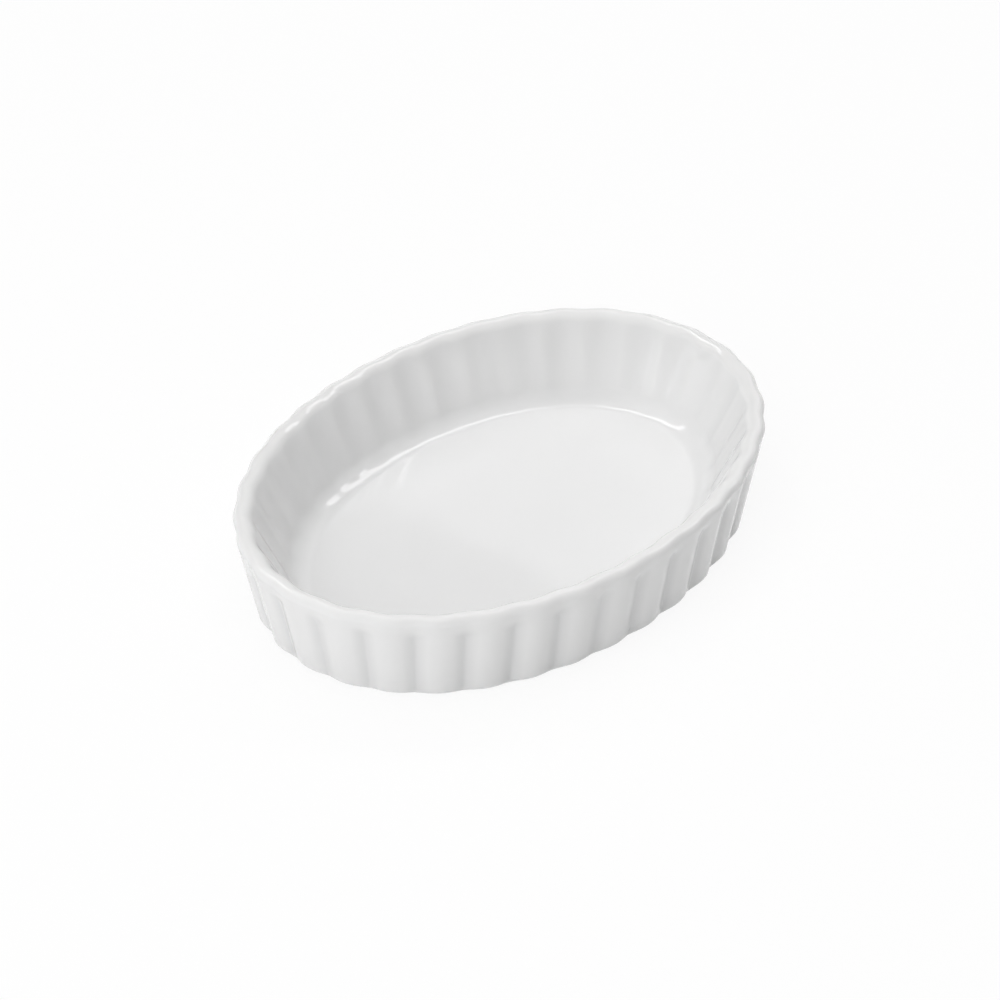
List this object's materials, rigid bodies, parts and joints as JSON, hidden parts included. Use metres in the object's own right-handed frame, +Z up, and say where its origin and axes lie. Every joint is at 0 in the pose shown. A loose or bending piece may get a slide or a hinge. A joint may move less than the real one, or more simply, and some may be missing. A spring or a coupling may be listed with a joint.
{
  "type": "creme brulee dish",
  "caption": "Shallow oval baking dish of white glazed porcelain with fluted walls, a smooth rounded rim and a bare foot ring, for a single baked custard.",
  "frame": {"origin": "middle of the plane that the foot ring rests on", "axes": "+X along the dish's length, +Y across it, +Z up out of its mouth"},
  "size_m": [0.152, 0.109, 0.0256],
  "materials": {
    "bisque_porcelain": "unglazed, fine matt grain",
    "white_glaze": "clear gloss over white porcelain",
    "recess_glaze": "clear gloss over white porcelain"
  },
  "bodies": {
    "root": {"porcelain_body": "bisque_porcelain", "glaze_coat": "white_glaze", "underside_glaze": "recess_glaze"}
  },
  "joints": []
}
